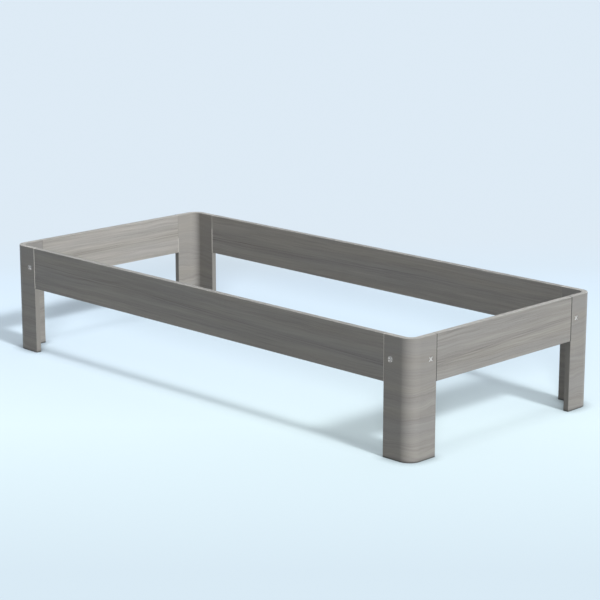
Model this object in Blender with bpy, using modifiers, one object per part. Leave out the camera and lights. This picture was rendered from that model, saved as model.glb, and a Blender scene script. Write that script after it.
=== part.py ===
"""Single bed frame: four bent corner legs and four rails, drawn together by cam connectors.

Units are metres and +Z is up. The origin is on the floor, under the middle of the frame.
+X runs to the foot end and +Y to the back side rail.
"""

import math
from collections import namedtuple

import bmesh
import bpy
from mathutils import Matrix, Vector

OBJECT_NAME = "bed_frame"

# The mattress that the frame holds, and the play round it
MATTRESS_LENGTH = 2.000
MATTRESS_WIDTH = 0.900
END_PLAY = 0.007
SIDE_PLAY = 0.0025

# Boards and legs
BOARD = 0.021  # thickness
FRAME_HEIGHT = 0.413
RAIL_HEIGHT = 0.158
WING = 0.120  # of a leg, from its outer corner to the seam
BEND_RADIUS = 0.026  # inside of the bend
EDGE_RADIUS = 0.001
SEAM_GAP = 0.0003
FIT = 0.0003  # clearance of a piece in its bore
BORE_SPARE = 0.001  # depth of a bore past the end of its bolt or dowel

# Cam, which half a turn releases
CAM_RADIUS = 0.011
CAM_INSET = 0.028  # from the seam to the cam's axis
CAM_RECESS = 0.0002  # below the outer face
CAM_FLOOR = 0.0015
CAM_EDGE = 0.0004
HOLLOW_RADIUS = 0.0070
HOLLOW_THROW = 0.0012  # from the cam's axis to the hollow's
CROSS_LENGTH = 0.020
CROSS_WIDTH = 0.0026
CROSS_DEPTH = 0.0028

# Connecting bolt, along the middle of the board
BALL_RADIUS = 0.0035
BALL_PLAY = 0.0005
NECK_RADIUS = 0.0022
SHANK_RADIUS = 0.0035
THREAD_ROOT = 0.0026
THREAD_LENGTH = 0.030
THREAD_PITCH = 0.0045
THREAD_TIP = 0.003

# Dowels
DOWEL_RADIUS = 0.004
DOWEL_LENGTH = 0.035
DOWEL_SPACING = 0.096
DOWEL_EDGE = 0.001
FLUTE_DEPTH = 0.0003
FLUTES = 8

OVERRUN = 0.005  # of a cutter past the face that it opens

# Facets
BEND_STEPS = 12
BORE_STEPS = 16
CAM_STEPS = 28
HOLLOW_STEPS = 20
BOLT_STEPS = 10
BALL_STEPS = 4
EDGE_STEPS = 2
SMOOTH_BELOW = math.radians(35)
EASED_ABOVE = math.radians(60)
MERGE = 0.00001

# Worked out from the values above
LENGTH = MATTRESS_LENGTH + 2 * (END_PLAY + BOARD)
WIDTH = MATTRESS_WIDTH + 2 * (SIDE_PLAY + BOARD)
RAIL_MIDDLE = FRAME_HEIGHT - RAIL_HEIGHT / 2
OUTER_RADIUS = BEND_RADIUS + BOARD
HOLLOW_HALF_HEIGHT = BALL_RADIUS + BALL_PLAY
CAM_TOP = BOARD / 2 - CAM_RECESS
CAM_BOTTOM = -HOLLOW_HALF_HEIGHT - CAM_FLOOR
BALL_CENTRE = CAM_INSET + HOLLOW_THROW - HOLLOW_RADIUS + FIT + BALL_RADIUS
NECK_START = CAM_INSET - CAM_RADIUS - BALL_PLAY

# Each leg's corner in halves of the frame's size and its turn about Z in degrees, then the
# rail and the rail's end that each of its two wings meets
LEGS = {
    "corner_leg_head_front": (
        (-1, -1, 0),
        ("side_rail_front", "head_end"),
        ("head_rail", "front_end"),
    ),
    "corner_leg_foot_front": (
        (1, -1, 90),
        ("foot_rail", "front_end"),
        ("side_rail_front", "foot_end"),
    ),
    "corner_leg_foot_back": (
        (1, 1, 180),
        ("side_rail_back", "foot_end"),
        ("foot_rail", "back_end"),
    ),
    "corner_leg_head_back": (
        (-1, 1, 270),
        ("head_rail", "back_end"),
        ("side_rail_back", "head_end"),
    ),
}

# Each rail's length, the place of its middle and its turn about Z in degrees
RAILS = {
    "side_rail_front": (LENGTH, (0, BOARD / 2 - WIDTH / 2), 0),
    "side_rail_back": (LENGTH, (0, WIDTH / 2 - BOARD / 2), 0),
    "head_rail": (WIDTH, (BOARD / 2 - LENGTH / 2, 0), 90),
    "foot_rail": (WIDTH, (LENGTH / 2 - BOARD / 2, 0), 90),
}

# A seam's place is a matrix: its origin is in the middle of the leg's end face, at the rail's
# mid-height, with +X into the wing and +Y out through the outer face
Seam = namedtuple("Seam", "name leg rail place cutters")


def clear_scene():
    for obj in list(bpy.data.objects):
        bpy.data.objects.remove(obj, do_unlink=True)


def new_collection(name, parent):
    collection = bpy.data.collections.new(name)
    parent.children.link(collection)
    return collection


def material(name, colour, roughness, metallic):
    made = bpy.data.materials.new(name)
    made.use_nodes = True
    shader = made.node_tree.nodes["Principled BSDF"]
    shader.inputs["Base Color"].default_value = (*colour, 1.0)
    shader.inputs["Roughness"].default_value = roughness
    shader.inputs["Metallic"].default_value = metallic
    made.diffuse_color = (*colour, 1.0)
    return made


def leg_laminate():
    return material("bent_grey_laminate", (0.325, 0.32, 0.305), 0.55, 0.0)


def rail_laminate():
    return material("grey_laminate_board", (0.325, 0.32, 0.305), 0.55, 0.0)


def dowel_beech():
    return material("dowel_beech", (0.60, 0.42, 0.25), 0.70, 0.0)


def cam_zinc():
    return material("cam_zinc", (0.40, 0.40, 0.39), 0.35, 1.0)


def bolt_steel():
    return material("bolt_steel", (0.63, 0.62, 0.60), 0.30, 1.0)


def object_from_bmesh(name, shape, collection):
    mesh = bpy.data.meshes.new(name)
    shape.to_mesh(mesh)
    shape.free()
    obj = bpy.data.objects.new(name, mesh)
    collection.objects.link(obj)
    return obj


def box(name, size, centre, collection):
    """A unit cube that the named sizes scale."""
    shape = bmesh.new()
    matrix = Matrix.Translation(centre) @ Matrix.Diagonal((*size, 1))
    bmesh.ops.create_cube(shape, size=1, matrix=matrix)
    return object_from_bmesh(name, shape, collection)


def cylinder(name, radius, start, end, steps, collection):
    axis = Vector(end) - Vector(start)
    middle = (Vector(end) + Vector(start)) / 2
    turn = axis.to_track_quat("Z", "Y").to_matrix().to_4x4()
    shape = bmesh.new()
    bmesh.ops.create_cone(
        shape,
        cap_ends=True,
        segments=steps,
        radius1=radius,
        radius2=radius,
        depth=axis.length,
        matrix=Matrix.Translation(middle) @ turn,
    )
    return object_from_bmesh(name, shape, collection)


def make_cutter(obj, place):
    obj.matrix_world = place
    obj.hide_render = True
    obj.display_type = "WIRE"


def ease_edges(obj, width, steps):
    bevel = obj.modifiers.new("eased_edges", "BEVEL")
    bevel.width = width
    bevel.segments = steps
    bevel.limit_method = "ANGLE"
    bevel.angle_limit = EASED_ABOVE


def cut(obj, cutters):
    boolean = obj.modifiers.new(cutters.name, "BOOLEAN")
    boolean.operation = "DIFFERENCE"
    boolean.operand_type = "COLLECTION"
    boolean.collection = cutters
    boolean.solver = "EXACT"


def finish(obj):
    """Gives the object the mesh that its modifiers make, and shades its round faces smooth."""
    bpy.context.view_layer.update()
    graph = bpy.context.evaluated_depsgraph_get()
    mesh = bpy.data.meshes.new_from_object(obj.evaluated_get(graph))
    obj.modifiers.clear()
    obj.data = mesh
    mesh.name = obj.name
    mesh.shade_smooth()
    mesh.set_sharp_from_angle(angle=SMOOTH_BELOW)
    return mesh


def seam_cutters(name, place, parent):
    """The bores that a cam, its bolt and two dowels need in the leg and the rail."""
    group = new_collection("bores_" + name, parent)
    cam_start = (CAM_INSET, CAM_BOTTOM - FIT, 0)
    cam_end = (CAM_INSET, BOARD / 2 + OVERRUN, 0)
    bolt_start = (-THREAD_LENGTH - BORE_SPARE, 0, 0)
    bolt_end = (CAM_INSET, 0, 0)
    bores = [
        cylinder("cam_bore_" + name, CAM_RADIUS + FIT, cam_start, cam_end, CAM_STEPS, group),
        cylinder("bolt_bore_" + name, SHANK_RADIUS + FIT, bolt_start, bolt_end, BORE_STEPS, group),
    ]
    reach = DOWEL_LENGTH / 2 + BORE_SPARE
    for side in (-1, 1):
        height = side * DOWEL_SPACING / 2
        start = (-reach, 0, height)
        end = (reach, 0, height)
        radius = DOWEL_RADIUS + FIT
        bores.append(cylinder("dowel_bore_" + name, radius, start, end, BORE_STEPS, group))
    for bore in bores:
        make_cutter(bore, place)
    return group


def leg_place(x_side, y_side, turn):
    """A leg's outer corner stands at its own origin, with one wing along +X and one along +Y."""
    corner = (x_side * LENGTH / 2, y_side * WIDTH / 2, 0)
    return Matrix.Translation(corner) @ Matrix.Rotation(math.radians(turn), 4, "Z")


def seam_place(leg, wing):
    """The seam at the end of the leg's wing along +X, or of its wing along +Y."""
    if wing == 0:
        origin = Vector((WING, BOARD / 2, RAIL_MIDDLE))
        into, out = Vector((-1, 0, 0)), Vector((0, -1, 0))
    else:
        origin = Vector((BOARD / 2, WING, RAIL_MIDDLE))
        into, out = Vector((0, -1, 0)), Vector((-1, 0, 0))
    axes = Matrix((into, out, into.cross(out))).transposed().to_4x4()
    return leg @ Matrix.Translation(origin) @ axes


def make_seams(cutters):
    seams = []
    for leg, (corner, *wings) in LEGS.items():
        for wing, (rail, end) in enumerate(wings):
            name = f"{rail}_{end}"
            place = seam_place(leg_place(*corner), wing)
            group = seam_cutters(name, place, cutters)
            seams.append(Seam(name, leg, rail, place, group))
    return seams


def leg_outline():
    """The leg's outer face seen from above: wing, bend, wing."""
    points = [Vector((WING, 0, 0))]
    for step in range(BEND_STEPS + 1):
        angle = math.radians(-90 - 90 * step / BEND_STEPS)
        x = OUTER_RADIUS * (1 + math.cos(angle))
        y = OUTER_RADIUS * (1 + math.sin(angle))
        points.append(Vector((x, y, 0)))
    points.append(Vector((0, WING, 0)))
    return points


def leg_sheet(name, parts):
    """The leg's outer face as an open upright sheet, with its normals out."""
    shape = bmesh.new()
    verts = [shape.verts.new(point) for point in leg_outline()]
    edges = [shape.edges.new(pair) for pair in zip(verts, verts[1:])]
    grown = bmesh.ops.extrude_edge_only(shape, edges=edges)
    risen = [item for item in grown["geom"] if isinstance(item, bmesh.types.BMVert)]
    bmesh.ops.translate(shape, verts=risen, vec=(0, 0, FRAME_HEIGHT))
    bmesh.ops.recalc_face_normals(shape, faces=shape.faces)
    shape.faces.ensure_lookup_table()
    if shape.faces[0].normal.y > 0:
        bmesh.ops.reverse_faces(shape, faces=shape.faces)
    return object_from_bmesh(name, shape, parts)


def make_legs(seams, parts):
    laminate = leg_laminate()
    for name, (corner, *_) in LEGS.items():
        leg = leg_sheet(name, parts)
        leg.data.materials.append(laminate)
        leg.matrix_world = leg_place(*corner)
        thickness = leg.modifiers.new("thickness", "SOLIDIFY")
        thickness.thickness = BOARD
        thickness.offset = -1
        thickness.use_even_offset = True
        ease_edges(leg, EDGE_RADIUS, EDGE_STEPS)
        for seam in seams:
            if seam.leg == name:
                cut(leg, seam.cutters)
        finish(leg)


def make_rails(seams, parts):
    laminate = rail_laminate()
    for name, (frame_side, middle, turn) in RAILS.items():
        length = frame_side - 2 * (WING + SEAM_GAP)
        rail = box(name, (length, BOARD, RAIL_HEIGHT), (0, 0, 0), parts)
        rail.data.materials.append(laminate)
        rail.location = (*middle, RAIL_MIDDLE)
        rail.rotation_euler.z = math.radians(turn)
        ease_edges(rail, EDGE_RADIUS, EDGE_STEPS)
        for seam in seams:
            if seam.rail == name:
                cut(rail, seam.cutters)
        finish(rail)


def cam_mesh(patterns):
    """The cam about its turning axis, Z, with Z = 0 in the middle of the board and the bolt
    coming from -X. At rest its thick wall is behind the bolt's ball."""
    group = new_collection("cam_cuts", patterns)
    cam = cylinder("cam", CAM_RADIUS, (0, 0, CAM_BOTTOM), (0, 0, CAM_TOP), CAM_STEPS, patterns)
    cam.data.materials.append(cam_zinc())
    ease_edges(cam, CAM_EDGE, 1)
    reach = CAM_RADIUS + OVERRUN
    hollow_start = (HOLLOW_THROW, 0, -HOLLOW_HALF_HEIGHT)
    hollow_end = (HOLLOW_THROW, 0, HOLLOW_HALF_HEIGHT)
    half_slot = NECK_RADIUS + BALL_PLAY
    slot_size = (2 * reach, reach + half_slot, 2 * half_slot)
    slot_centre = (0, (reach - half_slot) / 2, 0)
    cuts = [
        cylinder("hollow", HOLLOW_RADIUS, hollow_start, hollow_end, HOLLOW_STEPS, group),
        cylinder("ball_way", BALL_RADIUS + FIT, (0, 0, 0), (reach, 0, 0), BORE_STEPS, group),
        box("neck_slot", slot_size, slot_centre, group),
    ]
    for made in cuts:
        make_cutter(made, Matrix.Identity(4))
    arm_size = (CROSS_LENGTH, CROSS_WIDTH, CROSS_DEPTH + OVERRUN)
    arm_centre = (0, 0, CAM_TOP + (OVERRUN - CROSS_DEPTH) / 2)
    for turn in (-45, 45):
        arm = box("cross_arm", arm_size, arm_centre, group)
        make_cutter(arm, Matrix.Rotation(math.radians(turn), 4, "Z"))
    cut(cam, group)
    return finish(cam)


def bolt_profile():
    """(radius, height) from the ball's top to the thread's tip, with the seam at height 0."""
    points = []
    ball_end = math.pi - math.asin(NECK_RADIUS / BALL_RADIUS)
    for step in range(BALL_STEPS + 1):
        angle = ball_end * step / BALL_STEPS
        height = BALL_CENTRE + BALL_RADIUS * math.cos(angle)
        points.append((BALL_RADIUS * math.sin(angle), height))
    points.append((NECK_RADIUS, NECK_START))
    points.append((SHANK_RADIUS, NECK_START + NECK_RADIUS - SHANK_RADIUS))
    turns = round((THREAD_LENGTH - THREAD_TIP) / THREAD_PITCH)
    pitch = (THREAD_LENGTH - THREAD_TIP) / turns
    for turn in range(turns):
        crest = -turn * pitch
        points.append((SHANK_RADIUS, crest))
        points.append((THREAD_ROOT, crest - pitch / 2))
    points.append((THREAD_ROOT, THREAD_TIP - THREAD_LENGTH))
    points.append((0, -THREAD_LENGTH))
    return points


def bolt_mesh(patterns):
    """The bolt, turned about Z."""
    mesh = bpy.data.meshes.new("bolt")
    points = [(radius, 0, height) for radius, height in bolt_profile()]
    edges = [(i, i + 1) for i in range(len(points) - 1)]
    mesh.from_pydata(points, edges, [])
    mesh.materials.append(bolt_steel())
    bolt = bpy.data.objects.new("bolt", mesh)
    patterns.objects.link(bolt)
    turning = bolt.modifiers.new("turning", "SCREW")
    turning.axis = "Z"
    turning.steps = BOLT_STEPS
    turning.render_steps = BOLT_STEPS
    turning.use_merge_vertices = True
    turning.merge_threshold = MERGE
    return finish(bolt)


def dowel_mesh(patterns):
    """A fluted dowel about Z, its middle at the seam. Every second vertex is in a flute."""
    start = (0, 0, -DOWEL_LENGTH / 2)
    end = (0, 0, DOWEL_LENGTH / 2)
    dowel = cylinder("dowel", DOWEL_RADIUS, start, end, 2 * FLUTES, patterns)
    dowel.data.materials.append(dowel_beech())
    flute_share = (DOWEL_RADIUS - FLUTE_DEPTH) / DOWEL_RADIUS
    for vert in dowel.data.vertices:
        step = round(math.atan2(vert.co.y, vert.co.x) * FLUTES / math.pi)
        if step % 2:
            vert.co.x *= flute_share
            vert.co.y *= flute_share
    ease_edges(dowel, DOWEL_EDGE, 1)
    return finish(dowel)


def place_copy(name, mesh, place, parts):
    copy = bpy.data.objects.new(name, mesh)
    parts.objects.link(copy)
    copy.matrix_world = place


def make_fittings(seams, cutters, parts):
    """The cam, the bolt and the two dowels of each seam, from one pattern of each."""
    patterns = new_collection("patterns", cutters)
    cam = cam_mesh(patterns)
    bolt = bolt_mesh(patterns)
    dowel = dowel_mesh(patterns)
    to_cam_axis = Matrix.Translation((CAM_INSET, 0, 0)) @ Matrix.Rotation(math.radians(-90), 4, "X")
    along_seam = Matrix.Rotation(math.radians(90), 4, "Y")
    for seam in seams:
        place_copy("cam_" + seam.name, cam, seam.place @ to_cam_axis, parts)
        place_copy("bolt_" + seam.name, bolt, seam.place @ along_seam, parts)
        for side in (-1, 1):
            offset = Matrix.Translation((0, 0, side * DOWEL_SPACING / 2))
            place = seam.place @ offset @ along_seam
            level = "upper" if place.translation.z > RAIL_MIDDLE else "lower"
            place_copy(f"dowel_{level}_{seam.name}", dowel, place, parts)
    for pattern in list(patterns.all_objects):
        bpy.data.objects.remove(pattern, do_unlink=True)


def main():
    clear_scene()
    scene = bpy.context.scene.collection
    parts = new_collection(OBJECT_NAME, scene)
    cutters = new_collection("cutters", scene)
    cutters.hide_render = True
    seams = make_seams(cutters)
    make_legs(seams, parts)
    make_rails(seams, parts)
    make_fittings(seams, cutters, parts)


main()
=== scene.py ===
"""Looks of the single bed frame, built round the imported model.

Each board, cam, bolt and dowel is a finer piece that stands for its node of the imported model.
"""

import math
from collections import namedtuple

import bmesh
import bpy
from mathutils import Matrix, Vector

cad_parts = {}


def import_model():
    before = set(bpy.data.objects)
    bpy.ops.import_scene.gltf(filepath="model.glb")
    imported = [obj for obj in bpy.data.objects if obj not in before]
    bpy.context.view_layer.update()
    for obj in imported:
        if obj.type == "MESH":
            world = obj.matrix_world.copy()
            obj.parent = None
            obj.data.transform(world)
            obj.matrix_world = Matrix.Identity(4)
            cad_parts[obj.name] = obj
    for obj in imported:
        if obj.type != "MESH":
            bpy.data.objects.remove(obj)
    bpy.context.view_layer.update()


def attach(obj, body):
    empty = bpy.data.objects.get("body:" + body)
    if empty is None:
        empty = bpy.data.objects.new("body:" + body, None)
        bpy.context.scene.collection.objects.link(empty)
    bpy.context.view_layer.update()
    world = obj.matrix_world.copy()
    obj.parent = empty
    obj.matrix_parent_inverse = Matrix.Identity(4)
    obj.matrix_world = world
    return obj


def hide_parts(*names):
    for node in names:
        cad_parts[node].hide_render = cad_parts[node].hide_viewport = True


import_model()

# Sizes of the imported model
LENGTH = 2.056
WIDTH = 0.947
FRAME_HEIGHT = 0.413
BOARD = 0.021
RAIL_HEIGHT = 0.158
WING = 0.120
BEND_RADIUS = 0.026
EDGE_RADIUS = 0.001
SEAM_GAP = 0.0003
FIT = 0.0003
BORE_SPARE = 0.001
CAM_RADIUS = 0.011
CAM_INSET = 0.028
CAM_RECESS = 0.0002
CAM_FLOOR = 0.0015
HOLLOW_RADIUS = 0.0070
HOLLOW_THROW = 0.0012
BALL_RADIUS = 0.0035
BALL_PLAY = 0.0005
NECK_RADIUS = 0.0022
SHANK_RADIUS = 0.0035
THREAD_ROOT = 0.0026
THREAD_LENGTH = 0.030
THREAD_PITCH = 0.0045
THREAD_TIP = 0.003
DOWEL_RADIUS = 0.004
DOWEL_LENGTH = 0.035
DOWEL_SPACING = 0.096
FLUTE_DEPTH = 0.0003

RAIL_BOTTOM = FRAME_HEIGHT - RAIL_HEIGHT
RAIL_MIDDLE = FRAME_HEIGHT - RAIL_HEIGHT / 2
OUTER_RADIUS = BEND_RADIUS + BOARD
HOLLOW_HALF_HEIGHT = BALL_RADIUS + BALL_PLAY
CAM_TOP = BOARD / 2 - CAM_RECESS
CAM_BOTTOM = -HOLLOW_HALF_HEIGHT - CAM_FLOOR
BALL_CENTRE = CAM_INSET + HOLLOW_THROW - HOLLOW_RADIUS + FIT + BALL_RADIUS
NECK_START = CAM_INSET - CAM_RADIUS - BALL_PLAY

# Sizes that only the finer pieces have
CAM_EDGE = 0.0005
CROSS_MOUTH = (0.0200, 0.0038)
CROSS_BOTTOM = (0.0180, 0.0018)
CROSS_DEPTH = 0.0028
THREAD_RUNOUT = 0.0015
FLUTES = 12
DOWEL_EDGE = 0.0012
# The thread's crest as a share of a turn, and the thread's tip as a share of its thickness
CREST_WIDTH = 0.28
TIP_SHARE = 0.30
# How far a cutter stands out, how near points are joined, and a step too small to be seen
OVERRUN = 0.005
WELD = 0.00002
CLOSE = 0.00001

# How finely round shapes are divided
BEND_STEPS = 32
CAM_STEPS = 64
HOLLOW_STEPS = 48
BORE_STEPS = 32
EDGE_STEPS = 3
BOLT_STEPS = 28
THREAD_ROWS = 110
BALL_ROWS = 12
DOWEL_STEPS = 96
SHARP_ANGLE = math.radians(33)

# Each leg's corner in halves of the frame's size and its turn about Z in degrees, then the
# rail and the rail's end that each of its two wings meets
LEGS = {
    "head_front": ((-1, -1, 0), ("side_rail_front", "head_end"), ("head_rail", "front_end")),
    "foot_front": ((1, -1, 90), ("foot_rail", "front_end"), ("side_rail_front", "foot_end")),
    "foot_back": ((1, 1, 180), ("side_rail_back", "foot_end"), ("foot_rail", "back_end")),
    "head_back": ((-1, 1, 270), ("head_rail", "back_end"), ("side_rail_back", "head_end")),
}
# Each rail's length, the place of its middle and its turn about Z in degrees
RAILS = {
    "side_rail_front": (LENGTH, (0, BOARD / 2 - WIDTH / 2), 0),
    "side_rail_back": (LENGTH, (0, WIDTH / 2 - BOARD / 2), 0),
    "head_rail": (WIDTH, (BOARD / 2 - LENGTH / 2, 0), 90),
    "foot_rail": (WIDTH, (LENGTH / 2 - BOARD / 2, 0), 90),
}
Seam = namedtuple("Seam", "name leg rail place")

# Laminate
FACE_GREYS = ((0.329, 0.321, 0.309, 1), (0.342, 0.327, 0.301, 1))
EDGE_GREY = (0.292, 0.283, 0.264, 1)
# Colours of the painted highlight and the painted shade at the seams
SEAM_PAINTED_HIGHLIGHT = (0.78, 0.76, 0.72, 1)
SEAM_PAINTED_SHADE = (0.05, 0.048, 0.044, 1)
PLY = 0.0015
PLY_CONTRAST = 0.035
# How far the grain's lines wander, their rings in a metre, and the first board's seed with
# the step to the next
LEG_GRAIN = (0.06, 30)
LEG_SEEDS = (20.0, 7)
LEG_EDGE_TONE = 1.18
RAIL_GRAIN = (0.016, 62)
RAIL_SEEDS = (50.0, 9)
# Streaks of the grain: how often they come in a metre along it and across it, and how much
# they change the tone
FINE_STREAKS = (9.0, 820.0, 0.48)
MIDDLE_STREAKS = (3.2, 170.0, 0.48)
BROAD_STREAKS = (1.4, 36.0, 0.44)
# How much rings and pores change the tone
RING_DARK = 0.14
RING_PALE = 0.035
PORE_DARK = 0.16
# The dark lines along a rail: how far above the middle one, half their width, how dark
VEIN_LINES = (
    (0.0, 0.0016, 0.15),
    (-0.008, 0.0022, 0.10),
    (0.007, 0.0025, 0.05),
    (-0.004, 0.0110, 0.06),
    (-0.0035, 0.0016, -0.04),
)
# Half the width of the painted highlight lines at a side's seams, and what is added at the head
# and on the head's inner faces, then the same at an end's seams, whose lines are painted shade
# and painted highlight, and what is added at the back
SIDE_LINE = (0.0009, 0.0004, 0.0006)
END_LINE = (0.0013, 0.0006)
# Each leg's face tone along the bed's side, and how much paler it is along the end
LEG_LOOKS = {
    "head_front": (0.99, 0.0),
    "foot_front": (0.99, 0.0),
    "foot_back": (0.99, 0.0),
    "head_back": (0.94, 0.25),
}
# Each rail's face and edge tones, and the heights of its dark lines as shares of the rail's
RAIL_LOOKS = {
    "side_rail_front": ((1.0, 0.93), (0.64, 0.52, 0.36)),
    "side_rail_back": ((1.11, 0.87), (0.46, 0.50, 0.58)),
    "head_rail": ((1.31, 1.03), (0.44, 0.50, 0.52)),
    "foot_rail": ((1.03, 1.19), (0.40, 0.50, 0.53)),
}

# Camera, found from the corners of the bed in the photograph
CAMERA_PLACE = (4.9507, -4.9198, 1.9838)
CAMERA_PAN = 134.833
CAMERA_TILT = -13.676
CAMERA_ROLL = 0.070
SENSOR = 36.0
FOCAL_PIXELS = 1945.43
PICTURE_PIXELS = 600

# Light
KEY_FROM = (1.15, -0.10, 1.0)
KEY_STRENGTH = 1.74
KEY_ANGLE = 7
GLOW_STRENGTH = 0.93
GLOW_ANGLE = 14
TOP_FROM = (0.085, -0.065, 1.0)
TOP_STRENGTH = 0.75
TOP_ANGLE = 20
# A low fill from beside the camera, which reaches the floor alone
FILL_FROM = (0.624, -0.718, 0.309)
FILL_STRENGTH = 2.0
FILL_ANGLE = 14
WORLD_STRENGTH = 0.44
BACKDROP = (0.72, 0.815, 0.91)
FLOOR_BOUNCE = (0.072, 0.072, 0.072)
# The floor's colour from the camera's feet to far behind the bed, by y - x in metres
FLOOR_BANDS = (
    (-2.8, (0.490, 0.580, 0.643)),
    (-1.7, (0.541, 0.646, 0.698)),
    (-0.9, (0.580, 0.694, 0.735)),
    (0.3, (0.551, 0.658, 0.742)),
    (1.3, (0.532, 0.641, 0.736)),
    (2.1, (0.513, 0.610, 0.702)),
    (2.6, (0.503, 0.586, 0.660)),
    (3.5, (0.509, 0.579, 0.642)),
)
FLOOR_RADIUS = 60.0
# Painted contact shade on the floor, from ambient occlusion: the dark line where a leg meets the
# floor
CONTACT_REACH = 0.045
CONTACT_SHADE = 0.75
FAR = 500.0


# Node trees


class Nodes:
    """Adds nodes to one tree. An input is a number, a colour or another node's output."""

    def __init__(self, tree):
        self.tree = tree
        tree.nodes.clear()

    def add(self, kind, inputs, output=0, **settings):
        node = self.tree.nodes.new("ShaderNode" + kind)
        for key, value in settings.items():
            setattr(node, key, value)
        for key, value in inputs.items():
            if isinstance(value, bpy.types.NodeSocket):
                self.tree.links.new(value, node.inputs[key])
            else:
                node.inputs[key].default_value = value
        return node.outputs[output]

    def math(self, operation, *values, clamp=False):
        inputs = dict(enumerate(values))
        return self.add("Math", inputs, operation=operation, use_clamp=clamp)

    def total(self, *values):
        found = values[0]
        for value in values[1:]:
            found = self.math("ADD", found, value)
        return found

    def times(self, *values):
        found = values[0]
        for value in values[1:]:
            found = self.math("MULTIPLY", found, value)
        return found

    def less(self, a, b):
        return self.math("SUBTRACT", a, b)

    def share(self, value, start, end):
        """0 at start, 1 at end, straight in between."""
        inputs = {"Value": value, "From Min": start, "From Max": end}
        return self.add("MapRange", inputs, clamp=True)

    def noise(self, x, y, z, detail=2.0, roughness=0.5):
        place = self.add("CombineXYZ", {"X": x, "Y": y, "Z": z})
        inputs = {"Vector": place, "Scale": 1.0, "Detail": detail, "Roughness": roughness}
        return self.add("TexNoise", inputs, noise_dimensions="3D")

    def mix(self, share, a, b):
        inputs = {"Factor": share, 6: a, 7: b}
        return self.add("Mix", inputs, output=2, data_type="RGBA")

    def shade(self, colour, factor):
        """The colour, brightened or darkened by the factor."""
        colour = colour[:3] if isinstance(colour, tuple) else colour
        return self.add("VectorMath", {0: colour, "Scale": factor}, operation="SCALE")

    def bell(self, value, middle, width):
        """1 at the middle, falling to a half at the width to either side."""
        off = self.math("DIVIDE", self.less(value, middle), width)
        square = self.math("MULTIPLY", off, off)
        return self.math("DIVIDE", 1.0, self.total(1.0, self.times(square, square)))


def new_material(name):
    made = bpy.data.materials.new(name)
    made.use_nodes = True
    return made, Nodes(made.node_tree)


def surface(nodes, colour, roughness, height, bump, metallic=0.0, specular=0.5):
    """A principled surface whose height, in metres, gives its bump."""
    normal = nodes.add("Bump", {"Strength": bump, "Distance": 1.0, "Height": height})
    inputs = {
        "Base Color": colour,
        "Roughness": roughness,
        "Metallic": metallic,
        "Specular IOR Level": specular,
        "Normal": normal,
    }
    shader = nodes.add("BsdfPrincipled", inputs)
    nodes.add("OutputMaterial", {"Surface": shader}, output=slice(0, 0))


# Wood decor


def board_place(nodes, along):
    """Where a point is on its board: along the grain, up, in from the outer face, x, y, and
    how far round its bend. The grain of a leg runs level round its bend."""
    place = nodes.add("TexCoord", {}, output="Object")
    split = nodes.tree.nodes.new("ShaderNodeSeparateXYZ")
    nodes.tree.links.new(place, split.inputs[0])
    x, y, z = split.outputs
    past_x = nodes.less(nodes.math("ABSOLUTE", x), LENGTH / 2 - OUTER_RADIUS)
    past_y = nodes.less(nodes.math("ABSOLUTE", y), WIDTH / 2 - OUTER_RADIUS)
    over_x = nodes.math("MAXIMUM", past_x, 0.0)
    over_y = nodes.math("MAXIMUM", past_y, 0.0)
    squares = nodes.total(nodes.times(over_x, over_x), nodes.times(over_y, over_y))
    depth = nodes.less(OUTER_RADIUS, nodes.math("SQRT", squares))
    if along == "x":
        grain = x
    elif along == "y":
        grain = y
    else:
        turn = nodes.math("ARCTAN2", over_x, over_y)
        before = nodes.math("MINIMUM", past_x, 0.0)
        after = nodes.math("MINIMUM", past_y, 0.0)
        grain = nodes.total(before, nodes.times(turn, OUTER_RADIUS), nodes.times(after, -1.0))
        return grain, z, depth, x, y, nodes.times(turn, 2.0 / math.pi)
    return grain, z, depth, x, y, 0.0


def decor(nodes, grain, up, inner, seed, lines):
    """The printed grain: a tone near 1, the fine streaks alone and a slow wave."""
    wave, rings_each_metre = lines
    slow = nodes.noise(nodes.times(grain, 1.7), nodes.times(up, 5.0), seed, detail=1.0)
    quick = nodes.noise(nodes.times(grain, 9.0), nodes.times(up, 11.0), seed + 1.7)
    bent = nodes.total(
        up,
        nodes.times(nodes.less(slow, 0.5), wave),
        nodes.times(nodes.less(quick, 0.5), 0.6 * wave),
        nodes.times(inner, 0.37),
    )

    def streaks(along, across, seed_step, detail=2.0):
        return nodes.noise(
            nodes.times(grain, along), nodes.times(bent, across), seed + seed_step, detail
        )

    def change(noise, amount):
        return nodes.times(nodes.less(noise, 0.5), amount)

    fine = streaks(*FINE_STREAKS[:2], 3.1)
    middle = streaks(*MIDDLE_STREAKS[:2], 5.3)
    broad = streaks(*BROAD_STREAKS[:2], 7.9, 3.0)
    rings = nodes.total(nodes.times(bent, rings_each_metre), nodes.times(broad, 2.2))
    crest = nodes.total(0.5, nodes.times(nodes.math("SINE", nodes.times(rings, math.tau)), 0.5))
    line = nodes.math("POWER", crest, 5.0)
    shown = nodes.share(streaks(5.0, 16.0, 11.0, 1.0), 0.47, 0.62)
    dash = streaks(75.0, 1500.0, 13.0, 1.0)
    pore = nodes.times(nodes.share(dash, 0.57, 0.68), nodes.share(broad, 0.62, 0.42))
    tone = nodes.total(
        1.0,
        change(fine, FINE_STREAKS[2]),
        change(middle, MIDDLE_STREAKS[2]),
        change(broad, BROAD_STREAKS[2]),
        nodes.times(line, shown, -RING_DARK),
        nodes.times(crest, shown, RING_PALE),
        nodes.times(pore, -PORE_DARK),
    )
    return tone, nodes.less(fine, pore), slow


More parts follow.
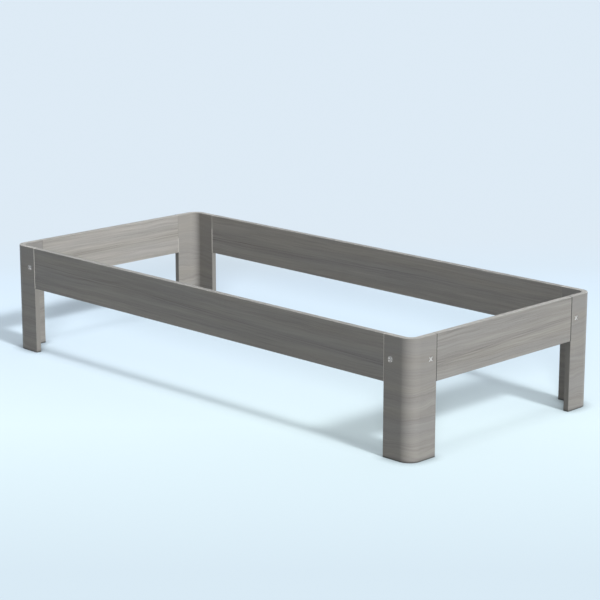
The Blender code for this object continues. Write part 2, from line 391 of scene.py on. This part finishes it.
def vein(nodes, grain, up, slow, heights, span):
    """Dark lines that wander along a rail. Heights are shares of the rail's, at one end, in
    the middle and at the other end."""
    first, middle, last = heights
    share = nodes.math("DIVIDE", grain, span / 2)
    slope = nodes.times(share, (last - first) / 2)
    bow = nodes.times(nodes.times(share, share), (last + first) / 2 - middle)
    height = nodes.total(slope, bow, middle)
    line = nodes.total(RAIL_BOTTOM, nodes.times(height, RAIL_HEIGHT))
    off = nodes.total(nodes.less(up, line), nodes.times(nodes.less(slow, 0.5), 0.03))
    lines = [nodes.times(nodes.bell(off, above, half), dark) for above, half, dark in VEIN_LINES]
    return nodes.total(*lines)


def rail_tone(nodes, tone, place, slow, along, heights, span):
    """Adds a rail's dark lines. The head rail is darker towards its front end."""
    grain, up, x = place
    tone = nodes.less(tone, vein(nodes, grain, up, slow, heights, span))
    if along == "y":
        at_head = nodes.math("LESS_THAN", x, 0.0)
        tone = nodes.less(tone, nodes.times(nodes.share(grain, 0.0, -0.35), at_head, 0.09))
    return tone


def leg_tone(nodes, tone, up, inner, turned, end_lift):
    """A leg is calmer towards its top, and paler round the outer bend as a painted highlight."""
    swing = nodes.total(0.40, nodes.times(nodes.share(up, 0.34, 0.20), 0.42))
    tone = nodes.total(1.0, nodes.times(nodes.less(tone, 1.0), swing))
    bow = nodes.math("SINE", nodes.times(turned, math.pi))
    painted_bend_highlight = nodes.times(bow, nodes.less(1.0, inner), 0.13)
    return nodes.times(tone, nodes.total(1.0, painted_bend_highlight, nodes.times(turned, end_lift)))


def with_edges(nodes, face, place, tone, plies):
    """The edge band, a tenth darker as painted shade except on the top rim, and on a leg the
    plies of its bent core.
    """
    grain, up, depth = place
    in_edge = nodes.math("MINIMUM", depth, nodes.less(BOARD, depth))
    share = nodes.share(in_edge, 0.4 * EDGE_RADIUS, EDGE_RADIUS)
    ply = nodes.math("SINE", nodes.times(depth, math.tau / PLY))
    streaks = nodes.noise(nodes.times(grain, 14.0), nodes.times(up, 60.0), nodes.times(depth, 900.0))
    streaks = nodes.times(nodes.less(streaks, 0.5), 0.14)
    edge_tone = nodes.total(1.0, nodes.times(ply, plies), streaks)
    # Painted shade: the end faces and the lower edge are a tenth darker than the top rim
    on_rim = nodes.math("GREATER_THAN", up, FRAME_HEIGHT - EDGE_RADIUS)
    edge_tone = nodes.times(edge_tone, nodes.total(0.9, nodes.times(on_rim, 0.1)))
    return nodes.mix(share, face, nodes.shade(EDGE_GREY, nodes.times(edge_tone, tone)))


def with_painted_seam_light(nodes, colour, place):
    """Pale lines of painted highlight and dark lines of painted shade where eased edges meet at a
    seam.
    """
    up, depth, x, y = place
    across_x = nodes.math("ABSOLUTE", x)
    across_y = nodes.math("ABSOLUTE", y)
    on_side = nodes.math("GREATER_THAN", across_y, WIDTH / 2 - BOARD - 0.0005)
    on_end = nodes.less(1.0, on_side)
    high = nodes.math("GREATER_THAN", up, RAIL_BOTTOM)
    outer = nodes.math("GREATER_THAN", BOARD / 2, depth)
    inner = nodes.less(1.0, outer)
    at_head = nodes.math("LESS_THAN", x, 0.0)
    at_back = nodes.math("GREATER_THAN", y, 0.0)
    # On the sides a pale line of painted highlight, faint high up on the inner face
    off_seam = nodes.math("ABSOLUTE", nodes.less(across_x, LENGTH / 2 - WING - SEAM_GAP / 2))
    half, more_at_head, more_inside = SIDE_LINE
    more = nodes.total(more_at_head, nodes.times(inner, more_inside))
    half = nodes.total(half, nodes.times(at_head, more))
    line = nodes.math("LESS_THAN", off_seam, half)
    full = nodes.less(1.0, nodes.times(inner, nodes.share(up, 0.352, 0.362), 0.8))
    colour = nodes.mix(nodes.times(line, on_side, high, full), colour, SEAM_PAINTED_HIGHLIGHT)
    # On the ends a painted highlight low on the head's inner face, and painted shade on the outer
    # faces
    off_seam = nodes.math("ABSOLUTE", nodes.less(across_y, WIDTH / 2 - WING - SEAM_GAP / 2))
    half, more_at_back = END_LINE
    half = nodes.total(half, nodes.times(at_back, more_at_back))
    line = nodes.times(nodes.math("LESS_THAN", off_seam, half), on_end, high)
    low_down = nodes.share(up, 0.322, 0.312)
    colour = nodes.mix(nodes.times(line, inner, at_head, low_down, 0.6), colour, SEAM_PAINTED_HIGHLIGHT)
    return nodes.mix(nodes.times(line, outer), colour, SEAM_PAINTED_SHADE)


def with_painted_contact_shade(nodes, colour, up):
    """Painted contact shade: the lower end is darker up to some millimetres from the floor."""
    rim = nodes.total(0.35, nodes.times(nodes.share(up, 0.0012, 0.0065), 0.65))
    painted_low_shade = nodes.total(0.82, nodes.times(nodes.share(up, 0.004, 0.014), 0.18))
    return nodes.shade(colour, nodes.times(painted_low_shade, rim))


def laminate(name, along, tones, seed, lines, heights=None, span=1.0, plies=0.0, end_lift=0.0):
    """The wood decor of one board. The tones are those of its faces and of its edges."""
    made, nodes = new_material(name)
    grain, up, depth, x, y, turned = board_place(nodes, along)
    face_tone, edge_tone = tones
    inner = nodes.math("GREATER_THAN", depth, BOARD / 2)
    tone, fine, slow = decor(nodes, grain, up, inner, seed, lines)
    if heights:
        tone = rail_tone(nodes, tone, (grain, up, x), slow, along, heights, span)
    else:
        tone = leg_tone(nodes, tone, up, inner, turned, end_lift)
    warm = nodes.noise(nodes.times(grain, 1.3), nodes.times(up, 14.0), seed + 15.0)
    grey = nodes.mix(nodes.share(warm, 0.35, 0.65), *FACE_GREYS)
    face = nodes.shade(grey, nodes.times(tone, face_tone))
    colour = with_edges(nodes, face, (grain, up, depth), edge_tone, plies)
    # Painted highlights and painted shade at the seams
    colour = with_painted_seam_light(nodes, colour, (up, depth, x, y))
    # Painted contact shade at the lower end
    colour = with_painted_contact_shade(nodes, colour, up)
    roughness = nodes.total(0.56, nodes.times(nodes.less(fine, 0.5), 0.16))
    surface(nodes, colour, roughness, nodes.times(fine, 0.00006), 0.6, specular=0.35)
    return made


def cam_zinc():
    """Dull die-cast zinc, with a painted highlight: the cross recess is pale, rougher and less
    metallic.
    """
    made, nodes = new_material("die_cast_zinc")
    place = nodes.add("TexCoord", {}, output="Object")
    split = nodes.tree.nodes.new("ShaderNodeSeparateXYZ")
    nodes.tree.links.new(place, split.inputs[0])
    grit = nodes.add("TexNoise", {"Vector": place, "Scale": 2600.0, "Detail": 3.0})
    cloud = nodes.add("TexNoise", {"Vector": place, "Scale": 260.0, "Detail": 2.0})
    tone = nodes.total(0.86, nodes.times(cloud, 0.28))
    colour = nodes.shade((0.36, 0.315, 0.29, 1), tone)
    x, y, z = split.outputs
    # The painted highlight fills the cross below the face
    in_face = nodes.share(z, CAM_TOP - 0.0003, CAM_TOP - 0.0001)
    cross_floor = CAM_TOP - CROSS_DEPTH
    in_cross = nodes.share(z, cross_floor - 0.0005, cross_floor - 0.0002)
    from_axis = nodes.total(nodes.times(x, x), nodes.times(y, y))
    inside = nodes.math("GREATER_THAN", (CROSS_MOUTH[0] / 2) ** 2, from_axis)
    painted_cross_highlight = nodes.times(nodes.less(1.0, in_face), in_cross, inside)
    colour = nodes.mix(painted_cross_highlight, colour, (0.79, 0.78, 0.76, 1))
    roughness = nodes.total(0.32, nodes.times(cloud, 0.20), nodes.times(painted_cross_highlight, 0.15))
    metal = nodes.less(1.0, nodes.times(painted_cross_highlight, 0.7))
    surface(nodes, colour, roughness, nodes.times(grit, 0.00002), 0.5, metallic=metal)
    return made


def bolt_steel():
    made, nodes = new_material("zinc_plated_steel")
    place = nodes.add("TexCoord", {}, output="Object")
    cloud = nodes.add("TexNoise", {"Vector": place, "Scale": 320.0, "Detail": 3.0})
    turned = nodes.add(
        "TexWave",
        {"Vector": place, "Scale": 900.0, "Distortion": 0.4},
        wave_type="BANDS",
        bands_direction="Z",
    )
    colour = nodes.mix(cloud, (0.58, 0.59, 0.60, 1), (0.66, 0.64, 0.58, 1))
    roughness = nodes.total(0.22, nodes.times(cloud, 0.18))
    surface(nodes, colour, roughness, nodes.times(turned, 0.00001), 0.4, metallic=1.0)
    return made


def dowel_beech():
    made, nodes = new_material("raw_beech")
    place = nodes.add("TexCoord", {}, output="Object")
    split = nodes.tree.nodes.new("ShaderNodeSeparateXYZ")
    nodes.tree.links.new(place, split.inputs[0])
    x, y, z = split.outputs
    grain = nodes.noise(nodes.times(x, 900.0), nodes.times(y, 900.0), nodes.times(z, 60.0))
    fleck = nodes.noise(nodes.times(x, 2400.0), nodes.times(y, 2400.0), nodes.times(z, 320.0), 1.0)
    colour = nodes.mix(nodes.share(grain, 0.3, 0.7), (0.46, 0.30, 0.17, 1), (0.66, 0.48, 0.31, 1))
    colour = nodes.mix(nodes.share(fleck, 0.62, 0.72), colour, (0.32, 0.18, 0.09, 1))
    surface(nodes, colour, nodes.total(0.6, nodes.times(grain, 0.2)), nodes.times(grain, 0.0001), 0.6)
    return made


# Shapes


def object_from_bmesh(name, shape):
    mesh = bpy.data.meshes.new(name)
    shape.to_mesh(mesh)
    shape.free()
    obj = bpy.data.objects.new(name, mesh)
    bpy.context.scene.collection.objects.link(obj)
    return obj


def cylinder(radius, start, end, steps):
    axis = Vector(end) - Vector(start)
    middle = (Vector(end) + Vector(start)) / 2
    turn = axis.to_track_quat("Z", "Y").to_matrix().to_4x4()
    shape = bmesh.new()
    bmesh.ops.create_cone(
        shape,
        cap_ends=True,
        segments=steps,
        radius1=radius,
        radius2=radius,
        depth=axis.length,
        matrix=Matrix.Translation(middle) @ turn,
    )
    return object_from_bmesh("cutter", shape)


def wedge(size, deep_size, top, depth):
    """A box that narrows with depth, for a recess."""
    shape = bmesh.new()
    for height, (long, wide) in ((top + OVERRUN, size), (top, size), (top - depth, deep_size)):
        for sx, sy in ((-1, -1), (1, -1), (1, 1), (-1, 1)):
            shape.verts.new((sx * long / 2, sy * wide / 2, height))
    bmesh.ops.convex_hull(shape, input=shape.verts)
    return object_from_bmesh("cutter", shape)


def box(size, centre):
    shape = bmesh.new()
    matrix = Matrix.Translation(centre) @ Matrix.Diagonal((*size, 1))
    bmesh.ops.create_cube(shape, size=1, matrix=matrix)
    return object_from_bmesh("cutter", shape)


def ease_edges(obj, width):
    bevel = obj.modifiers.new("eased_edges", "BEVEL")
    bevel.width = width
    bevel.segments = EDGE_STEPS
    bevel.limit_method = "ANGLE"
    bevel.angle_limit = math.radians(50)


def cut(obj, cutters):
    for cutter in cutters:
        boolean = obj.modifiers.new("cut", "BOOLEAN")
        boolean.operation = "DIFFERENCE"
        boolean.object = cutter
        boolean.solver = "EXACT"


def weld(mesh):
    """Joins points that the cuts left almost on each other."""
    shape = bmesh.new()
    shape.from_mesh(mesh)
    bmesh.ops.remove_doubles(shape, verts=shape.verts, dist=WELD)
    bmesh.ops.dissolve_degenerate(shape, edges=shape.edges, dist=WELD)
    shape.to_mesh(mesh)
    shape.free()


def finish(obj, cutters=()):
    """Gives the object the mesh that its modifiers make, and shades its round faces smooth."""
    bpy.context.view_layer.update()
    graph = bpy.context.evaluated_depsgraph_get()
    mesh = bpy.data.meshes.new_from_object(obj.evaluated_get(graph))
    obj.modifiers.clear()
    obj.data = mesh
    mesh.name = obj.name
    weld(mesh)
    for cutter in cutters:
        bpy.data.objects.remove(cutter, do_unlink=True)
    mesh.shade_smooth()
    mesh.set_sharp_from_angle(angle=SHARP_ANGLE)
    weighted = obj.modifiers.new("flat_faces", "WEIGHTED_NORMAL")
    weighted.keep_sharp = True


def leg_place(x_side, y_side, turn):
    """A leg's outer corner stands at its own origin, with one wing along +X and one along +Y."""
    corner = (x_side * LENGTH / 2, y_side * WIDTH / 2, 0)
    return Matrix.Translation(corner) @ Matrix.Rotation(math.radians(turn), 4, "Z")


def seam_place(leg, wing):
    """The middle of the leg's end face, with +X into the wing and +Y out of the outer face."""
    if wing == 0:
        origin = Vector((WING, BOARD / 2, RAIL_MIDDLE))
        into, out = Vector((-1, 0, 0)), Vector((0, -1, 0))
    else:
        origin = Vector((BOARD / 2, WING, RAIL_MIDDLE))
        into, out = Vector((0, -1, 0)), Vector((-1, 0, 0))
    axes = Matrix((into, out, into.cross(out))).transposed().to_4x4()
    return leg @ Matrix.Translation(origin) @ axes


def make_seams():
    seams = []
    for leg, (corner, *wings) in LEGS.items():
        for wing, (rail, end) in enumerate(wings):
            place = seam_place(leg_place(*corner), wing)
            seams.append(Seam(f"{rail}_{end}", leg, rail, place))
    return seams


def seam_cutters(place):
    """The bores for a cam, its bolt and two dowels."""
    cam_start = (CAM_INSET, CAM_BOTTOM - FIT, 0)
    cam_end = (CAM_INSET, BOARD / 2 + OVERRUN, 0)
    bolt_start = (-THREAD_LENGTH - BORE_SPARE, 0, 0)
    bolt_end = (CAM_INSET, 0, 0)
    cutters = [
        cylinder(CAM_RADIUS + FIT, cam_start, cam_end, CAM_STEPS),
        cylinder(SHANK_RADIUS + FIT, bolt_start, bolt_end, BORE_STEPS),
    ]
    reach = DOWEL_LENGTH / 2 + BORE_SPARE
    for side in (-1, 1):
        height = side * DOWEL_SPACING / 2
        start, end = (-reach, 0, height), (reach, 0, height)
        cutters.append(cylinder(DOWEL_RADIUS + FIT, start, end, BORE_STEPS))
    for cutter in cutters:
        cutter.matrix_world = place
    return cutters


def arc(centre, radius, start, end):
    for step in range(BEND_STEPS + 1):
        angle = math.radians(start + (end - start) * step / BEND_STEPS)
        yield centre + radius * math.cos(angle), centre + radius * math.sin(angle)


def leg_mesh(name, corner, seams):
    outline = [(WING, 0), *arc(OUTER_RADIUS, OUTER_RADIUS, -90, -180), (0, WING)]
    outline += [(BOARD, WING), *arc(OUTER_RADIUS, BEND_RADIUS, 180, 270), (WING, BOARD)]
    shape = bmesh.new()
    base = shape.faces.new([shape.verts.new((x, y, 0)) for x, y in outline])
    grown = bmesh.ops.extrude_face_region(shape, geom=[base])
    risen = [item for item in grown["geom"] if isinstance(item, bmesh.types.BMVert)]
    bmesh.ops.translate(shape, verts=risen, vec=(0, 0, FRAME_HEIGHT))
    bmesh.ops.recalc_face_normals(shape, faces=shape.faces)
    bmesh.ops.transform(shape, matrix=leg_place(*corner), verts=shape.verts)
    leg = object_from_bmesh(name, shape)
    cutters = [cutter for seam in seams for cutter in seam_cutters(seam.place)]
    ease_edges(leg, EDGE_RADIUS)
    cut(leg, cutters)
    finish(leg, cutters)
    return leg


def dress(board, material, node):
    board.data.materials.clear()
    board.data.materials.append(material)
    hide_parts(node)
    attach(board, "frame")


def make_legs(seams):
    for count, (name, (corner, *_)) in enumerate(LEGS.items()):
        leg = leg_mesh("bent_leg_" + name, corner, [s for s in seams if s.leg == name])
        face_tone, lift = LEG_LOOKS[name]
        made = laminate(
            "leg_decor_" + name,
            "bend",
            (face_tone, LEG_EDGE_TONE),
            LEG_SEEDS[0] + LEG_SEEDS[1] * count,
            LEG_GRAIN,
            plies=PLY_CONTRAST,
            end_lift=lift,
        )
        dress(leg, made, "corner_leg_" + name)


def make_rails(seams):
    for count, (name, (frame_side, middle, turn)) in enumerate(RAILS.items()):
        span = frame_side - 2 * (WING + SEAM_GAP)
        rail = box((span, BOARD, RAIL_HEIGHT), (0, 0, 0))
        rail.name = "board_" + name
        place = Matrix.Translation((*middle, RAIL_MIDDLE))
        rail.data.transform(place @ Matrix.Rotation(math.radians(turn), 4, "Z"))
        cutters = [c for s in seams if s.rail == name for c in seam_cutters(s.place)]
        ease_edges(rail, EDGE_RADIUS)
        cut(rail, cutters)
        finish(rail, cutters)
        tones, heights = RAIL_LOOKS[name]
        along = "x" if turn == 0 else "y"
        made = laminate(
            "rail_decor_" + name,
            along,
            tones,
            RAIL_SEEDS[0] + RAIL_SEEDS[1] * count,
            RAIL_GRAIN,
            heights,
            span,
        )
        dress(rail, made, name)


def cam_mesh():
    """The cam about its turning axis, Z, with Z = 0 in the middle of the board and the bolt
    coming from -X."""
    cam = cylinder(CAM_RADIUS, (0, 0, CAM_BOTTOM), (0, 0, CAM_TOP), CAM_STEPS)
    cam.name = "cam"
    ease_edges(cam, CAM_EDGE)
    reach = CAM_RADIUS + OVERRUN
    hollow_start = (HOLLOW_THROW, 0, -HOLLOW_HALF_HEIGHT)
    hollow_end = (HOLLOW_THROW, 0, HOLLOW_HALF_HEIGHT)
    half_slot = NECK_RADIUS + BALL_PLAY
    slot_size = (2 * reach, reach + half_slot, 2 * half_slot)
    slot_centre = (0, (reach - half_slot) / 2, 0)
    cutters = [
        cylinder(HOLLOW_RADIUS, hollow_start, hollow_end, HOLLOW_STEPS),
        cylinder(BALL_RADIUS + FIT, (0, 0, 0), (reach, 0, 0), BORE_STEPS),
        box(slot_size, slot_centre),
    ]
    for turn in (-45, 45):
        arm = wedge(CROSS_MOUTH, CROSS_BOTTOM, CAM_TOP, CROSS_DEPTH)
        arm.matrix_world = Matrix.Rotation(math.radians(turn), 4, "Z")
        cutters.append(arm)
    cut(cam, cutters)
    finish(cam, cutters)
    cam.data.materials.clear()
    cam.data.materials.append(cam_zinc())
    return cam


def grid_mesh(name, rows, steps, radius_at):
    """A closed turned shape about Z. Rows are heights from one tip to the other."""
    shape = bmesh.new()
    rings = []
    for height in rows[1:-1]:
        ring = []
        for step in range(steps):
            angle = 2 * math.pi * step / steps
            radius = radius_at(height, angle)
            point = (radius * math.cos(angle), radius * math.sin(angle), height)
            ring.append(shape.verts.new(point))
        rings.append(ring)
    for low, high in zip(rings, rings[1:]):
        for i in range(steps):
            j = (i + 1) % steps
            shape.faces.new((low[i], low[j], high[j], high[i]))
    for ring, height in ((rings[0], rows[0]), (rings[-1], rows[-1])):
        tip = shape.verts.new((0, 0, height))
        for i in range(steps):
            j = (i + 1) % steps
            shape.faces.new((ring[i], ring[j], tip))
    bmesh.ops.recalc_face_normals(shape, faces=shape.faces)
    return object_from_bmesh(name, shape)


def bolt_mesh():
    """The bolt along Z, with the seam at height 0 and a helical thread below it."""
    top = BALL_CENTRE + BALL_RADIUS
    neck_end = BALL_CENTRE - math.sqrt(BALL_RADIUS**2 - NECK_RADIUS**2)
    cone_end = NECK_START - (SHANK_RADIUS - NECK_RADIUS)

    def radius_at(height, angle):
        if height >= neck_end:
            return math.sqrt(max(BALL_RADIUS**2 - (height - BALL_CENTRE) ** 2, 0.0))
        if height >= NECK_START:
            return NECK_RADIUS
        if height >= cone_end:
            return NECK_RADIUS + NECK_START - height
        if height >= 0:
            return SHANK_RADIUS
        turn = (height / THREAD_PITCH + angle / (2 * math.pi)) % 1
        crest = max(0.0, 1 - abs(turn - 0.5) / CREST_WIDTH)
        thread = THREAD_ROOT + (SHANK_RADIUS - THREAD_ROOT) * min(1.0, 1.25 * crest)
        tip = min(1.0, TIP_SHARE + (1 - TIP_SHARE) * (height + THREAD_LENGTH) / THREAD_TIP)
        start = min(1.0, -height / THREAD_RUNOUT)
        return (SHANK_RADIUS + (thread - SHANK_RADIUS) * start) * tip

    rows = [-THREAD_LENGTH, -THREAD_LENGTH + CLOSE]
    rows += [-THREAD_LENGTH * (1 - row / THREAD_ROWS) for row in range(1, THREAD_ROWS + 1)]
    rows += [cone_end, NECK_START, neck_end]
    for row in range(1, BALL_ROWS):
        angle = math.acos((neck_end - BALL_CENTRE) / BALL_RADIUS) * (1 - row / BALL_ROWS)
        rows.append(BALL_CENTRE + BALL_RADIUS * math.cos(angle))
    rows += [top]
    bolt = grid_mesh("bolt", rows, BOLT_STEPS, radius_at)
    bolt.data.materials.append(bolt_steel())
    finish(bolt)
    return bolt


def dowel_mesh():
    """A fluted dowel along Z, with its middle at the seam."""
    half = DOWEL_LENGTH / 2

    def radius_at(height, angle):
        flute = FLUTE_DEPTH * (0.5 - 0.5 * math.cos(FLUTES * angle)) ** 2
        off_end = min(1.0, (half - abs(height)) / DOWEL_EDGE)
        rounding = 0.8 * DOWEL_EDGE * (1 - math.sqrt(1 - (1 - off_end) ** 2))
        return DOWEL_RADIUS - flute - rounding

    ends = [0.0, 2 * CLOSE, *(DOWEL_EDGE * share for share in (0.1, 0.3, 0.6, 1.0))]
    rows = [-half + inset for inset in ends] + [half - inset for inset in reversed(ends)]
    dowel = grid_mesh("dowel", rows, DOWEL_STEPS, radius_at)
    dowel.data.materials.append(dowel_beech())
    finish(dowel)
    return dowel


def place_copy(name, pattern, place, node, body):
    piece = pattern.copy()
    piece.name = name
    bpy.context.scene.collection.objects.link(piece)
    piece.matrix_world = place
    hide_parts(node)
    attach(piece, body)


def make_fittings(seams):
    cam, bolt, dowel = cam_mesh(), bolt_mesh(), dowel_mesh()
    to_cam_axis = Matrix.Translation((CAM_INSET, 0, 0)) @ Matrix.Rotation(math.radians(-90), 4, "X")
    along_seam = Matrix.Rotation(math.radians(90), 4, "Y")
    for seam in seams:
        name = seam.name
        place = seam.place @ to_cam_axis
        place_copy("cam_lock_" + name, cam, place, "cam_" + name, "cam_body_" + name)
        place = seam.place @ along_seam
        place_copy("cam_bolt_" + name, bolt, place, "bolt_" + name, "frame")
        for side in (-1, 1):
            place = seam.place @ Matrix.Translation((0, 0, side * DOWEL_SPACING / 2)) @ along_seam
            level = "upper" if place.translation.z > RAIL_MIDDLE else "lower"
            node = f"dowel_{level}_{name}"
            place_copy("fluted_" + node, dowel, place, node, "frame")
    for pattern in (cam, bolt, dowel):
        bpy.data.objects.remove(pattern, do_unlink=True)


# Studio


def camera():
    data = bpy.data.cameras.new("camera")
    data.sensor_width = SENSOR
    data.sensor_fit = "HORIZONTAL"
    data.lens = FOCAL_PIXELS * SENSOR / PICTURE_PIXELS
    data.clip_end = FAR
    obj = bpy.data.objects.new("camera", data)
    bpy.context.scene.collection.objects.link(obj)
    pan, tilt = math.radians(CAMERA_PAN), math.radians(CAMERA_TILT)
    level = math.cos(tilt)
    view = Vector((level * math.cos(pan), level * math.sin(pan), math.sin(tilt)))
    turn = view.to_track_quat("-Z", "Y").to_matrix().to_4x4()
    roll = Matrix.Rotation(math.radians(CAMERA_ROLL), 4, "Z")
    obj.matrix_world = Matrix.Translation(CAMERA_PLACE) @ turn @ roll
    bpy.context.scene.camera = obj


def sun(name, direction, strength, angle):
    data = bpy.data.lights.new(name, "SUN")
    data.energy = strength
    data.angle = math.radians(angle)
    obj = bpy.data.objects.new(name, data)
    bpy.context.scene.collection.objects.link(obj)
    obj.rotation_euler = Vector(direction).to_track_quat("Z", "Y").to_euler()
    return obj


def seen(nodes):
    """1 for rays that show the backdrop itself: from the camera, a mirror or glass."""
    path = nodes.tree.nodes.new("ShaderNodeLightPath")
    total = path.outputs["Is Camera Ray"]
    for name in ("Is Glossy Ray", "Is Transmission Ray"):
        total = nodes.math("MAXIMUM", total, path.outputs[name])
    return total


def world():
    made = bpy.data.worlds.new("studio")
    made.use_nodes = True
    nodes = Nodes(made.node_tree)
    light = nodes.add("Background", {"Color": (1, 1, 1, 1), "Strength": WORLD_STRENGTH})
    shown = nodes.add("Background", {"Color": (*BACKDROP, 1)})
    both = nodes.add("MixShader", {0: seen(nodes), 1: light, 2: shown})
    nodes.add("OutputWorld", {"Surface": both}, output=slice(0, 0))
    bpy.context.scene.world = made


def floor():
    shape = bmesh.new()
    bmesh.ops.create_circle(shape, cap_ends=True, segments=96, radius=FLOOR_RADIUS)
    obj = object_from_bmesh("floor", shape)
    made, nodes = new_material("floor")
    place = nodes.add("TexCoord", {}, output="Object")
    split = nodes.tree.nodes.new("ShaderNodeSeparateXYZ")
    nodes.tree.links.new(place, split.inputs[0])
    away = nodes.less(split.outputs[1], split.outputs[0])
    paint = (*FLOOR_BANDS[0][1], 1)
    for (start, _), (end, colour) in zip(FLOOR_BANDS, FLOOR_BANDS[1:]):
        paint = nodes.mix(nodes.share(away, start, end), paint, (*colour, 1))
    # Painted contact shade: the floor's colour is darkened where ambient occlusion finds the bed near
    contact = nodes.add("AmbientOcclusion", {"Distance": CONTACT_REACH}, output="AO", samples=8)
    paint = nodes.shade(paint, nodes.total(1 - CONTACT_SHADE, nodes.times(contact, CONTACT_SHADE)))
    lit = nodes.add("BsdfDiffuse", {"Color": paint})
    bounce = nodes.add("BsdfDiffuse", {"Color": (*FLOOR_BOUNCE, 1)})
    both = nodes.add("MixShader", {0: seen(nodes), 1: bounce, 2: lit})
    nodes.add("OutputMaterial", {"Surface": both}, output=slice(0, 0))
    obj.data.materials.append(made)
    return obj


def group(name, objects):
    made = bpy.data.collections.new(name)
    for obj in objects:
        made.objects.link(obj)
    return made


def lamps(floor_plate):
    """The key is one pair of lamps for the floor and a like pair for the bed, in which the
    rails cast no shadow: the ends of the legs are as bright below them as elsewhere."""
    bed = [obj for obj in bpy.context.scene.objects if obj.type == "MESH" and obj != floor_plate]
    on_floor = group("lit_floor", [floor_plate])
    on_bed = group("lit_bed", bed)
    casting = group("shading_bed", [obj for obj in bed if not obj.name.startswith("board_")])
    pairs = (("key", KEY_STRENGTH, KEY_ANGLE), ("glow", GLOW_STRENGTH, GLOW_ANGLE))
    for name, strength, angle in pairs:
        lamp = sun(name + "_floor", KEY_FROM, strength, angle)
        lamp.light_linking.receiver_collection = on_floor
        lamp = sun(name + "_bed", KEY_FROM, strength, angle)
        lamp.light_linking.receiver_collection = on_bed
        lamp.light_linking.blocker_collection = casting
    sun("top", TOP_FROM, TOP_STRENGTH, TOP_ANGLE)
    lamp = sun("fill", FILL_FROM, FILL_STRENGTH, FILL_ANGLE)
    lamp.light_linking.receiver_collection = on_floor


def main():
    seams = make_seams()
    make_legs(seams)
    make_rails(seams)
    make_fittings(seams)
    camera()
    world()
    lamps(floor())
    bpy.context.scene.view_settings.view_transform = "Standard"


main()
